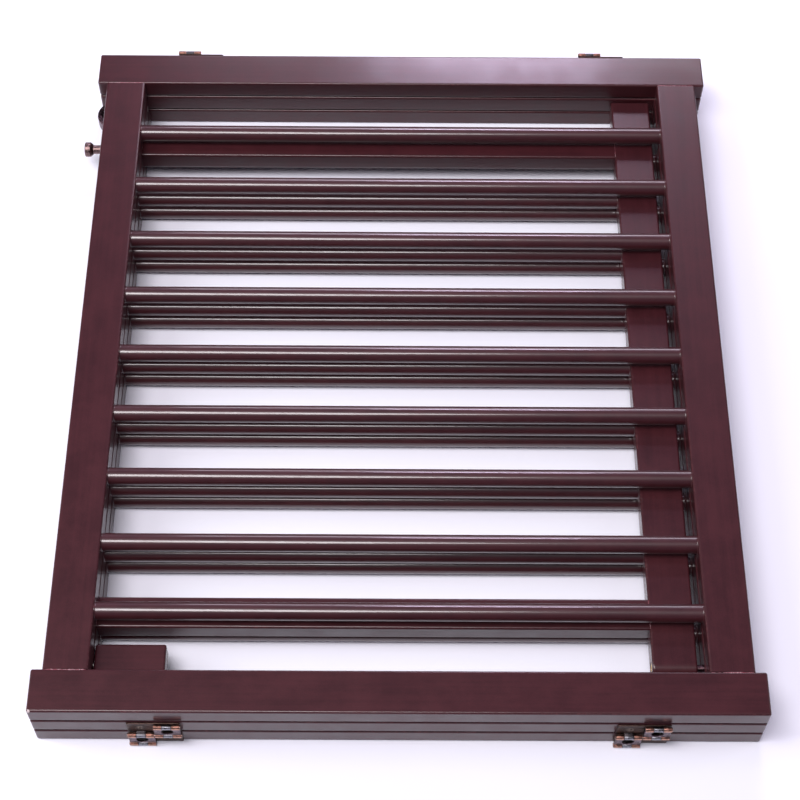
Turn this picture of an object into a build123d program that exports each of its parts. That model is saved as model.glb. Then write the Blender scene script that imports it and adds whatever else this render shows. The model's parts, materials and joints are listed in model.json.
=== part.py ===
from build123d import *
import os

# A freestanding pet gate: three barred wooden panels, with a walk-through door in the centre one,
# hinged together in a Z and lying folded flat. Millimetres.
# +X points from the gate's top to its feet, +Y from the near hinge line to the far one, and +Z up
# through the stack, so that the gate lies on its right panel. The origin is the centre of the base
# of the bounding box.

# Panels
panel_height = 609.6  # length of a stile, along X
panel_width = 711.2  # across both stiles, along Y
panel_gap = 1.5  # between two stacked panels
stock_thickness = 19.05  # of every flat wooden member, along Z
stile_width = 38.1
rail_width = 38.1
rail_inset = 9.525  # from a stile's end to the rail beside it
edge_radius = 2.0  # eased edges of the timber
bar_diameter = 15.875
bar_count = 9  # in a side panel, with equal gaps between them and the stiles
bar_socket_depth = 11.0

# Joinery
tenon_length = 12.0
tenon_thickness = 8.0
rail_tenon_width = 24.0
twin_tenon_width = 7.0  # one of the two on each end of a door stile
twin_tenon_spacing = 20.0
glue_gap = 0.1  # round a tenon or a bar in its socket
glue_depth = 0.5  # beyond the end of a tenon

# Door
door_stile_width = 28.575
door_stile_inset = 61.5  # opening's edge to the middle of a door stile
door_rail_width = 38.1
door_sill_gap = 6.0  # door's bottom rail to the threshold
door_free_gap = 4.0  # door's free end to the far post
running_clearance = 0.08  # radial, round a shaft that turns or slides
seat_clearance = 0.03  # radial, round a shaft that stays put

# Door pivots
pivot_block_width = 31.75
pivot_block_length = 60.0
pivot_block_gap = 0.8  # pivot block to the door's top rail
pivot_pin_radius = 4.0
pivot_pin_reach = 20.0  # into the block, and into the top rail
pivot_pin_chamfer = 0.8
pivot_bolt_radius = 3.0
pivot_bolt_reach = 15.0  # into the threshold
pivot_bolt_head_radius = 5.0
pivot_bolt_head_height = 4.0
pivot_bolt_head_fillet = 1.0
pivot_bolt_recess = 0.3  # of its head below the rail's face
washer_radius = 7.0  # set flush round the bolt's head
washer_thickness = 1.2
blind_slack = 2.0  # from a shaft's end to the bottom of its blind hole

# Latch
latch_rod_radius = 4.4
latch_rod_chamfer = 1.1
latch_engagement = 5.0  # of the lowered rod in the threshold
latch_setback = 0.9  # of the raised rod inside the bottom rail
latch_socket_clearance = 0.4  # radial, in the threshold
latch_stop_gap = 0.2  # lowered knob to the top rail
knob_radius = 7.3
knob_height = 8.6
knob_neck_chamfer = 2.4
knob_crown_radius = 1.2
knob_socket_depth = 5.0

# Door pull
pull_length = 32.0
pull_height = 10.8
pull_strap = 4.4  # at the crown of the bow
pull_foot = 7.0
pull_width = 12.0
pull_edge_radius = 1.0
pull_end_gap = 0.8  # pull to the rail's free end
pull_screw_radius = 1.5
pull_screw_reach = 2.8  # into each foot
pull_screw_head_radius = 3.0
pull_screw_head_height = 2.4

# Double-action hinges
hinge_inset = 101.6  # stile end to the middle of a hinge
hinge_axis_offset = 3.9  # panel edge to the pins
hinge_unit_width = 22.0
hinge_unit_gap = 0.6
knuckle_radius = 2.2
knuckle_centre_width = 7.8
knuckle_play = 0.2  # between two knuckles, along the pin
knuckle_face_inset = 0.2  # outer knuckles to the panel's face
leaf_thickness = 1.4
leaf_lip = 1.5  # of a leaf beyond its outer pin
link_thickness = 1.5
link_relief = 0.6  # round the other piece's knuckle
link_window_web = 0.8  # between a relief and the screw access hole
hinge_pin_radius = 1.25
hinge_pin_clearance = 0.05
hinge_pin_head_radius = 2.0
hinge_pin_head_height = 0.8
hinge_pin_head_play = 0.1
screw_radius = 1.75
screw_head_radius = 3.4
screw_length = 16.0
screw_tip_chamfer = 0.875
screw_slot_length = 4.4
screw_slot_width = 0.9
screw_slot_depth = 1.1

# Places along X
latch_travel = door_sill_gap + latch_setback + latch_engagement
knob_rise = latch_travel + latch_stop_gap
top_overhang = max(0.0, knob_rise + knob_height - rail_inset, pull_height - rail_inset)
foot_x = (panel_height + top_overhang) / 2
top_x = foot_x - panel_height
top_rail_x = (top_x + rail_inset, top_x + rail_inset + rail_width)
bottom_rail_x = (foot_x - rail_inset - rail_width, foot_x - rail_inset)
door_top_x = (top_rail_x[0], top_rail_x[0] + door_rail_width)
door_bottom_x = (bottom_rail_x[0] - door_sill_gap - door_rail_width, bottom_rail_x[0] - door_sill_gap)
pivot_block_x = (door_top_x[1] + pivot_block_gap, door_top_x[1] + pivot_block_gap + pivot_block_length)
pivot_bolt_head_x = (
    door_bottom_x[0] + pivot_bolt_recess,
    door_bottom_x[0] + pivot_bolt_recess + pivot_bolt_head_height,
)
pivot_washer_x = (door_bottom_x[0], door_bottom_x[0] + washer_thickness)
hinge_xs = (top_x + hinge_inset, foot_x - hinge_inset)

# Places along Y
panel_edge_y = panel_width / 2
opening_edge_y = panel_edge_y - stile_width
latch_y = opening_edge_y - door_stile_inset
bar_gap = (2 * opening_edge_y - bar_count * bar_diameter) / (bar_count + 1)
bar_pitch = bar_gap + bar_diameter
side_bar_ys = [bar_pitch * (place - (bar_count + 1) / 2) for place in range(1, bar_count + 1)]
door_bar_ys = side_bar_ys[1:-1]
pivot_y = -opening_edge_y + pivot_block_width / 2
door_free_y = opening_edge_y - door_free_gap
pull_y = door_free_y - pull_end_gap - pull_length / 2
pull_screw_ys = [pull_y + side * (pull_length - pull_foot) / 2 for side in (-1, 1)]

# Places along Z
stack_pitch = stock_thickness + panel_gap
right_z = stock_thickness / 2
centre_z = right_z + stack_pitch
left_z = centre_z + stack_pitch
near_pin_z = (right_z + centre_z) / 2
far_pin_z = (centre_z + left_z) / 2
pin_spacing = stack_pitch - panel_gap / 2 - knuckle_radius - knuckle_face_inset
hinge_span = 2 * hinge_unit_width + hinge_unit_gap
unit_offset = (hinge_unit_width + hinge_unit_gap) / 2
relief_radius = knuckle_radius + link_relief
link_window_radius = pin_spacing / 2 - relief_radius - link_window_web
pull_bow_rise = pull_height - pull_strap

NEAR, FAR = -1, 1  # the two hinge lines, by the sign of Y
BELOW, ABOVE = -1, 1  # which side of the shared pin a panel lies on

os.makedirs("parts", exist_ok=True)


def save(piece, name):
    """Label a finished piece and write it as its own file."""
    piece.label = name
    export_step(piece, f"parts/{name}.step")


def block(x, y, z, mode=Mode.ADD):
    """A box between two bounds on each axis, in the current builder."""
    with Locations(((x[0] + x[1]) / 2, (y[0] + y[1]) / 2, (z[0] + z[1]) / 2)):
        Box(abs(x[1] - x[0]), abs(y[1] - y[0]), abs(z[1] - z[0]), mode=mode)


def rod(x, y, z, radius, mode=Mode.ADD):
    """A round rod or bore along X, in the current builder."""
    with Locations(Location(((x[0] + x[1]) / 2, y, z), (0, 90, 0))):
        Cylinder(radius, abs(x[1] - x[0]), mode=mode)


def around(centre, width):
    """The two bounds of a width about its centre."""
    return (centre - width / 2, centre + width / 2)


# Timber


def stile(side, z, rails_x, hinge_sides):
    """A stile on one side of a panel, with a mortise for each rail and pilot holes for its hinges."""
    inner_y = side * opening_edge_y
    mortise_y = (inner_y, inner_y + side * (tenon_length + glue_depth))
    with BuildPart() as board:
        block((top_x, foot_x), (inner_y, side * panel_edge_y), around(z, stock_thickness))
        fillet(board.edges(), edge_radius)
        for rail_x in rails_x:
            mortise_x = around((rail_x[0] + rail_x[1]) / 2, rail_tenon_width + 2 * glue_gap)
            block(mortise_x, mortise_y, around(z, tenon_thickness + 2 * glue_gap), Mode.SUBTRACT)
        if side in hinge_sides:
            for place in hinge_screw_places(side, z):
                with Locations(place):
                    Cylinder(
                        screw_radius + seat_clearance,
                        2 * (screw_length - leaf_thickness + glue_depth),
                        mode=Mode.SUBTRACT,
                    )
    return board.part


def rail(rail_x, z, bar_ys, socket_face_x):
    """A rail between two stiles, with a tenon on each end and a row of bar sockets in one edge."""
    inward = 1 if socket_face_x == rail_x[1] else -1
    socket_x = (socket_face_x, socket_face_x - inward * bar_socket_depth)
    with BuildPart() as board:
        block(rail_x, around(0, 2 * opening_edge_y), around(z, stock_thickness))
        fillet(board.edges().filter_by(Axis.Y), edge_radius)
        block(
            around((rail_x[0] + rail_x[1]) / 2, rail_tenon_width),
            around(0, 2 * (opening_edge_y + tenon_length)),
            around(z, tenon_thickness),
        )
        for bar_y in bar_ys:
            rod(socket_x, bar_y, z, bar_diameter / 2 + glue_gap, Mode.SUBTRACT)
    return board


def bar(upper_x, lower_x, y, z):
    """A round bar that ends on the bottoms of its sockets in two facing rails."""
    with BuildPart() as dowel:
        rod((upper_x - bar_socket_depth, lower_x + bar_socket_depth), y, z, bar_diameter / 2)
    return dowel.part


def side_panel(name, z, hinge_side):
    """The stiles, rails and bars of a panel with no door."""
    rails_x = (top_rail_x, bottom_rail_x)
    for side in (NEAR, FAR):
        role = "hinged" if side == hinge_side else "free"
        save(stile(side, z, rails_x, (hinge_side,)), f"{name}_{role}_stile")
    save(rail(top_rail_x, z, side_bar_ys, top_rail_x[1]).part, f"{name}_top_rail")
    save(rail(bottom_rail_x, z, side_bar_ys, bottom_rail_x[0]).part, f"{name}_bottom_rail")
    for number, bar_y in enumerate(side_bar_ys, start=1):
        save(bar(top_rail_x[1], bottom_rail_x[0], bar_y, z), f"{name}_bar_{number}")


def centre_frame():
    """The fixed frame round the door: two posts, the threshold, and the block that carries the door."""
    save(stile(NEAR, centre_z, (bottom_rail_x,), (NEAR,)), "centre_near_post")
    save(stile(FAR, centre_z, (bottom_rail_x,), (FAR,)), "centre_far_post")

    threshold = rail(bottom_rail_x, centre_z, (), bottom_rail_x[0])
    mouth_x = bottom_rail_x[0]
    with threshold:
        rod(
            (mouth_x, mouth_x + pivot_bolt_reach + blind_slack),
            pivot_y,
            centre_z,
            pivot_bolt_radius + running_clearance,
            Mode.SUBTRACT,
        )
        rod(
            (mouth_x, mouth_x + latch_engagement + blind_slack),
            latch_y,
            centre_z,
            latch_rod_radius + latch_socket_clearance,
            Mode.SUBTRACT,
        )
    save(threshold.part, "threshold_rail")

    post_face_y = -opening_edge_y
    with BuildPart() as pivot_block:
        block_y = (post_face_y, post_face_y + pivot_block_width)
        block(pivot_block_x, block_y, around(centre_z, stock_thickness))
        glued_face = pivot_block.faces().sort_by(Axis.Y)[0]
        fillet([edge for edge in pivot_block.edges() if edge not in glued_face.edges()], edge_radius)
        rod(
            (pivot_block_x[0], pivot_block_x[0] + pivot_pin_reach),
            pivot_y,
            centre_z,
            pivot_pin_radius + seat_clearance,
            Mode.SUBTRACT,
        )
    save(pivot_block.part, "pivot_block")


# Door


def door_rail(rail_x, stile_face_x):
    """A door rail with a half-round heel about the pivots, twin mortises for both stiles and bar sockets."""
    inward = 1 if stile_face_x == rail_x[1] else -1
    tenon_x = (stile_face_x, stile_face_x - inward * (tenon_length + glue_depth))
    socket_x = (stile_face_x, stile_face_x - inward * bar_socket_depth)
    with BuildPart() as board:
        with BuildSketch(Plane.YZ.offset(rail_x[0])):
            with Locations((pivot_y, centre_z)):
                Circle(stock_thickness / 2)
            with Locations(((pivot_y + door_free_y) / 2, centre_z)):
                Rectangle(door_free_y - pivot_y, stock_thickness)
        extrude(amount=rail_x[1] - rail_x[0])
        fillet(board.edges().filter_by(Axis.X).group_by(Axis.Y)[-1], edge_radius)
        fillet(board.faces().filter_by(Axis.X).edges(), edge_radius)
        for stile_y in (-latch_y, latch_y):
            for side in (-1, 1):
                block(
                    tenon_x,
                    around(stile_y + side * twin_tenon_spacing / 2, twin_tenon_width + 2 * glue_gap),
                    around(centre_z, tenon_thickness + 2 * glue_gap),
                    Mode.SUBTRACT,
                )
        for bar_y in door_bar_ys:
            rod(socket_x, bar_y, centre_z, bar_diameter / 2 + glue_gap, Mode.SUBTRACT)
        rod(rail_x, latch_y, centre_z, latch_rod_radius + running_clearance, Mode.SUBTRACT)
    return board


def door_stile(y, bored):
    """An upright of the door, with twin tenons on each end and, on the latch side, a bore for the rod."""
    shoulders_x = (door_top_x[1], door_bottom_x[0])
    tenons_x = (shoulders_x[0] - tenon_length, shoulders_x[1] + tenon_length)
    with BuildPart() as board:
        block(shoulders_x, around(y, door_stile_width), around(centre_z, stock_thickness))
        fillet(board.edges().filter_by(Axis.X), edge_radius)
        for side in (-1, 1):
            tenon_y = around(y + side * twin_tenon_spacing / 2, twin_tenon_width)
            block(tenons_x, tenon_y, around(centre_z, tenon_thickness))
        if bored:
            rod(tenons_x, y, centre_z, latch_rod_radius + running_clearance, Mode.SUBTRACT)
    return board.part


def door_leaf():
    """The door's rails, stiles and bars."""
    top_rail = door_rail(door_top_x, door_top_x[1])
    with top_rail:
        rod(
            (door_top_x[1], door_top_x[1] - pivot_pin_reach - blind_slack),
            pivot_y,
            centre_z,
            pivot_pin_radius + running_clearance,
            Mode.SUBTRACT,
        )
        for screw_y in pull_screw_ys:
            rod(door_top_x, screw_y, centre_z, pull_screw_radius + seat_clearance, Mode.SUBTRACT)
            rod(
                (door_top_x[1] - pull_screw_head_height, door_top_x[1]),
                screw_y,
                centre_z,
                pull_screw_head_radius + glue_gap,
                Mode.SUBTRACT,
            )
    save(top_rail.part, "door_top_rail")

    bottom_rail = door_rail(door_bottom_x, door_bottom_x[0])
    with bottom_rail:
        rod(door_bottom_x, pivot_y, centre_z, pivot_bolt_radius + seat_clearance, Mode.SUBTRACT)
        rod(
            (door_bottom_x[0], pivot_bolt_head_x[1]),
            pivot_y,
            centre_z,
            pivot_bolt_head_radius + seat_clearance,
            Mode.SUBTRACT,
        )
        rod(pivot_washer_x, pivot_y, centre_z, washer_radius + seat_clearance, Mode.SUBTRACT)
    save(bottom_rail.part, "door_bottom_rail")

    save(door_stile(-latch_y, False), "door_hinge_stile")
    save(door_stile(latch_y, True), "door_latch_stile")
    for number, bar_y in enumerate(door_bar_ys, start=1):
        save(bar(door_top_x[1], door_bottom_x[0], bar_y, centre_z), f"door_bar_{number}")


def door_pivots():
    """The pin that stands in the pivot block, and the bolt and washer through the bottom rail."""
    with BuildPart() as pin:
        pin_x = (
            door_top_x[1] - pivot_pin_reach,
            pivot_block_x[0] + pivot_pin_reach,
        )
        rod(pin_x, pivot_y, centre_z, pivot_pin_radius)
        chamfer(pin.edges().sort_by(Axis.X)[0], pivot_pin_chamfer)
    save(pin.part, "top_pivot_pin")

    with BuildPart() as washer:
        rod(pivot_washer_x, pivot_y, centre_z, washer_radius)
        rod(pivot_washer_x, pivot_y, centre_z, pivot_bolt_head_radius + seat_clearance, Mode.SUBTRACT)
    save(washer.part, "pivot_washer")

    with BuildPart() as bolt:
        rod(pivot_bolt_head_x, pivot_y, centre_z, pivot_bolt_head_radius)
        fillet(bolt.edges().sort_by(Axis.X)[0], pivot_bolt_head_fillet)
        shank_x = (pivot_bolt_head_x[1], bottom_rail_x[0] + pivot_bolt_reach)
        rod(shank_x, pivot_y, centre_z, pivot_bolt_radius)
    save(bolt.part, "bottom_pivot_bolt")


def latch():
    """The drop rod and the knob that lifts it, drawn raised."""
    knob_x = (top_rail_x[0] - knob_rise - knob_height, top_rail_x[0] - knob_rise)
    rod_top_x = knob_x[1] - knob_socket_depth
    with BuildPart() as drop_rod:
        rod((rod_top_x, door_bottom_x[1] - latch_setback), latch_y, centre_z, latch_rod_radius)
        chamfer(drop_rod.edges().sort_by(Axis.X)[-1], latch_rod_chamfer)
    save(drop_rod.part, "latch_rod")

    with BuildPart() as knob:
        rod(knob_x, latch_y, centre_z, knob_radius)
        fillet(knob.edges().sort_by(Axis.X)[0], knob_crown_radius)
        chamfer(knob.edges().sort_by(Axis.X)[-1], knob_neck_chamfer)
        rod((rod_top_x, knob_x[1]), latch_y, centre_z, latch_rod_radius + seat_clearance, Mode.SUBTRACT)
    save(knob.part, "latch_knob")


def door_pull():
    """A bow pull on the top edge of the door, held by two screws from below."""
    seat_x = door_top_x[0]
    bow_plane = Plane(origin=(seat_x, pull_y, centre_z), x_dir=(0, 1, 0), z_dir=(0, 0, 1))
    with BuildPart() as pull:
        with BuildSketch(bow_plane.offset(-pull_width / 2)):
            with BuildLine():
                outer = ThreePointArc((-pull_length / 2, 0), (0, pull_height), (pull_length / 2, 0))
                inner_end = (pull_length / 2 - pull_foot, 0)
                inner_start = (-pull_length / 2 + pull_foot, 0)
                Line(outer @ 1, inner_end)
                ThreePointArc(inner_end, (0, pull_bow_rise), inner_start)
                Line(inner_start, outer @ 0)
            make_face()
        extrude(amount=pull_width)
        fillet(pull.faces().filter_by(Axis.Z).edges().filter_by(GeomType.CIRCLE), pull_edge_radius)
        for screw_y in pull_screw_ys:
            rod(
                (seat_x - pull_screw_reach, seat_x),
                screw_y,
                centre_z,
                pull_screw_radius + seat_clearance,
                Mode.SUBTRACT,
            )
    save(pull.part, "door_pull")

    with BuildPart() as screws:
        for screw_y in pull_screw_ys:
            rod((seat_x - pull_screw_reach, door_top_x[1]), screw_y, centre_z, pull_screw_radius)
            head_x = (door_top_x[1] - pull_screw_head_height, door_top_x[1])
            rod(head_x, screw_y, centre_z, pull_screw_head_radius)
    save(screws.part, "pull_screws")


# Hinges: each joins two stacked panels at the shared pin between them. It is two units side by side.
# In each unit, one panel's leaf meets, at the shared pin, a link that lies over the other panel's edge
# and ends on that panel's own outer pin.


def hinge_screw_places(side, z):
    """Where the hinge screws enter a panel's edge, each pointing out of the wood."""
    face_y = side * panel_edge_y
    return [
        Plane(origin=(hinge_x + unit * unit_offset, face_y, z), z_dir=(0, side, 0)).location
        for hinge_x in hinge_xs
        for unit in (-1, 1)
    ]


def knuckle(x, side, pin_z, bracket_z):
    """A leaf's rolled knuckle and the bracket that carries it out from the panel's edge."""
    axis_y = side * (panel_edge_y + hinge_axis_offset)
    width_x = around(x, knuckle_centre_width)
    rod(width_x, axis_y, pin_z, knuckle_radius)
    block(width_x, (axis_y, side * panel_edge_y), bracket_z)


def hinge_leaves(side, pin_z, where, own_unit):
    """A panel's leaves on one hinge line. own_unit is the unit whose shared pin runs in the leaf."""
    axis_y = side * (panel_edge_y + hinge_axis_offset)
    outer_z = pin_z + where * pin_spacing
    tangent = knuckle_radius - leaf_thickness
    panel_z = pin_z + where * stack_pitch / 2
    plate_z = (pin_z + where * tangent, outer_z + where * leaf_lip)
    plate_y = (side * panel_edge_y, side * (panel_edge_y + leaf_thickness))
    with BuildPart() as leaves:
        for hinge_x in hinge_xs:
            own_x = hinge_x + own_unit * unit_offset
            other_x = hinge_x - own_unit * unit_offset
            block(around(hinge_x, hinge_span), plate_y, plate_z)
            knuckle(own_x, side, pin_z, (plate_z[0], pin_z + where * knuckle_radius))
            knuckle(other_x, side, outer_z, (outer_z - where * knuckle_radius, outer_z - where * tangent))
            bore_radius = hinge_pin_radius + hinge_pin_clearance
            rod(around(own_x, hinge_unit_width), axis_y, pin_z, bore_radius, Mode.SUBTRACT)
            rod(around(other_x, hinge_unit_width), axis_y, outer_z, bore_radius, Mode.SUBTRACT)
        for place in hinge_screw_places(side, panel_z):
            with Locations(place * Location((0, 0, leaf_thickness / 2))):
                Cone(screw_radius, screw_head_radius, leaf_thickness, mode=Mode.SUBTRACT)
    return leaves.part


def hinge_links(side, pin_z, where, unit):
    """The links that lie over a panel's leaves, from the shared pin to the panel's outer pin."""
    axis_y = side * (panel_edge_y + hinge_axis_offset)
    outer_z = pin_z + where * pin_spacing
    with BuildPart() as links:
        for hinge_x in hinge_xs:
            unit_x = hinge_x + unit * unit_offset
            width_x = around(unit_x, hinge_unit_width)
            block(width_x, around(axis_y, link_thickness), (pin_z, outer_z))
            for barrel_z in (pin_z, outer_z):
                rod(width_x, axis_y, barrel_z, knuckle_radius)
            for barrel_z in (pin_z, outer_z):
                block(
                    around(unit_x, knuckle_centre_width + 2 * knuckle_play),
                    around(axis_y, 2 * relief_radius),
                    around(barrel_z, 2 * relief_radius),
                    Mode.SUBTRACT,
                )
                rod(width_x, axis_y, barrel_z, hinge_pin_radius + hinge_pin_clearance, Mode.SUBTRACT)
            window = Plane(origin=(unit_x, axis_y, (pin_z + outer_z) / 2), z_dir=(0, side, 0))
            with Locations(window.location):
                Cylinder(link_window_radius, 2 * link_thickness, mode=Mode.SUBTRACT)
    return links.part


def outer_pins(side, pin_z, where, unit):
    """The pins on a panel's side of its hinges, each with one head."""
    axis_y = side * (panel_edge_y + hinge_axis_offset)
    outer_z = pin_z + where * pin_spacing
    with BuildPart() as pins:
        for hinge_x in hinge_xs:
            unit_x = hinge_x + unit * unit_offset
            face_x = unit_x + unit * hinge_unit_width / 2
            head_x = (face_x, face_x + unit * hinge_pin_head_height)
            rod(around(unit_x, hinge_unit_width), axis_y, outer_z, hinge_pin_radius)
            rod(head_x, axis_y, outer_z, hinge_pin_head_radius)
    return pins.part


def shared_pins(side, pin_z):
    """The pins that both panels turn on, headed at both ends and carried by the centre panel."""
    axis_y = side * (panel_edge_y + hinge_axis_offset)
    with BuildPart() as pins:
        for hinge_x in hinge_xs:
            free_face_x = hinge_x - hinge_span / 2 - hinge_pin_head_play
            held_face_x = hinge_x + hinge_span / 2
            rod((free_face_x, held_face_x), axis_y, pin_z, hinge_pin_radius)
            rod((free_face_x - hinge_pin_head_height, free_face_x), axis_y, pin_z, hinge_pin_head_radius)
            rod((held_face_x, held_face_x + hinge_pin_head_height), axis_y, pin_z, hinge_pin_head_radius)
    return pins.part


def wood_screw():
    """A countersunk cross-head screw: its head's face is on Z = 0 and it points down."""
    shank_length = screw_length - leaf_thickness
    with BuildPart() as screw:
        with Locations((0, 0, -leaf_thickness / 2)):
            Cone(screw_radius, screw_head_radius, leaf_thickness)
        with Locations((0, 0, -leaf_thickness - shank_length / 2)):
            Cylinder(screw_radius, shank_length)
        chamfer(screw.edges().sort_by(Axis.Z)[0], screw_tip_chamfer)
        with Locations((0, 0, -screw_slot_depth / 2)):
            Box(screw_slot_length, screw_slot_width, screw_slot_depth, mode=Mode.SUBTRACT)
            Box(screw_slot_width, screw_slot_length, screw_slot_depth, mode=Mode.SUBTRACT)
    return screw.part


def hinge_screws(lines):
    """The hinge screws of one panel, for each of its hinge lines and the height of its middle."""
    screw = wood_screw()
    with BuildPart() as screws:
        for side, z in lines:
            for place in hinge_screw_places(side, z):
                add(screw.moved(place * Location((0, 0, leaf_thickness))))
    return screws.part


def gather(pieces):
    """Several pieces of one kind as one group of separate solids."""
    with BuildPart() as group:
        for piece in pieces:
            add(piece)
    return group.part


def hinges():
    """Leaves, links, pins and screws, grouped by the panel that they move with."""
    save(hinge_leaves(NEAR, near_pin_z, BELOW, 1), "right_hinge_leaves")
    save(hinge_links(NEAR, near_pin_z, BELOW, -1), "right_hinge_links")
    save(outer_pins(NEAR, near_pin_z, BELOW, -1), "right_hinge_pins")
    save(hinge_screws([(NEAR, right_z)]), "right_hinge_screws")

    save(hinge_leaves(FAR, far_pin_z, ABOVE, 1), "left_hinge_leaves")
    save(hinge_links(FAR, far_pin_z, ABOVE, -1), "left_hinge_links")
    save(outer_pins(FAR, far_pin_z, ABOVE, -1), "left_hinge_pins")
    save(hinge_screws([(FAR, left_z)]), "left_hinge_screws")

    near_line = (NEAR, near_pin_z, ABOVE)
    far_line = (FAR, far_pin_z, BELOW)
    save(gather([hinge_leaves(*line, -1) for line in (near_line, far_line)]), "centre_hinge_leaves")
    save(gather([hinge_links(*line, 1) for line in (near_line, far_line)]), "centre_hinge_links")
    pins = [outer_pins(*line, 1) for line in (near_line, far_line)]
    pins += [shared_pins(NEAR, near_pin_z), shared_pins(FAR, far_pin_z)]
    save(gather(pins), "centre_hinge_pins")
    save(hinge_screws([(NEAR, centre_z), (FAR, centre_z)]), "centre_hinge_screws")


side_panel("right", right_z, NEAR)
side_panel("left", left_z, FAR)
centre_frame()
door_leaf()
door_pivots()
latch()
door_pull()
hinges()

print("bounding box along X", top_x - top_overhang, foot_x)
print("near pin", panel_edge_y + hinge_axis_offset, near_pin_z, "far pin", far_pin_z)
print("door pivot", pivot_y, centre_z, "latch travel", latch_travel)
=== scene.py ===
"""The looks of a folding wooden pet gate: lacquered timber, antique copper hinges and bronze latch.

Every length is in metres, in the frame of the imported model.
"""

import json
import logging
import math
import random
from dataclasses import dataclass, field
from enum import Enum
from typing import Callable, Optional, Sequence

import bmesh
import bpy
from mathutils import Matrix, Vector


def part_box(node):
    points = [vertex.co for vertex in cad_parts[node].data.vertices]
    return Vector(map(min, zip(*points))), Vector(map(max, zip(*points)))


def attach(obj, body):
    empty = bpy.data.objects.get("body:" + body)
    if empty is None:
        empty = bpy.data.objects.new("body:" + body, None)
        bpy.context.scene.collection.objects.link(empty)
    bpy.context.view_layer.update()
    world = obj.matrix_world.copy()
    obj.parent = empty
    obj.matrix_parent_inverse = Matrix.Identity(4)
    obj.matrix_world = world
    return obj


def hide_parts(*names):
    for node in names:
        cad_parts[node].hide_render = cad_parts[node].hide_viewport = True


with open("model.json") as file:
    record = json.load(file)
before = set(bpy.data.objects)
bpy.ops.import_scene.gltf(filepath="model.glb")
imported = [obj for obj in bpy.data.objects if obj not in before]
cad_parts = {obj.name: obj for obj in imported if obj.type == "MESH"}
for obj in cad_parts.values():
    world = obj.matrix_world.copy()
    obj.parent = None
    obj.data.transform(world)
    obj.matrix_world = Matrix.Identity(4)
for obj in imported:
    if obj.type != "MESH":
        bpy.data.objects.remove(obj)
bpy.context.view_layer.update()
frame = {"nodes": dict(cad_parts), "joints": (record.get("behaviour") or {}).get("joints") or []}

log = logging.getLogger("pet_gate")

MM = 0.001
Point2 = tuple[float, float]
Point3 = tuple[float, float, float]
Colour = tuple[float, float, float]
Placing = Callable[[float, float, float], Vector]
Sockets = dict[str, bpy.types.NodeSocket]


class Grain(Enum):
    """The direction that a timber member's grain runs in."""

    ALONG_X = "x"
    ALONG_Y = "y"


class HingeLine(Enum):
    """One of the two hinge lines, by the sign of Y of the panel edge that it runs along."""

    NEAR = -1
    FAR = 1


class Where(Enum):
    """Which side of a shared hinge pin a panel lies on when the gate is folded."""

    BELOW = -1
    ABOVE = 1


# Shader nodes


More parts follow.
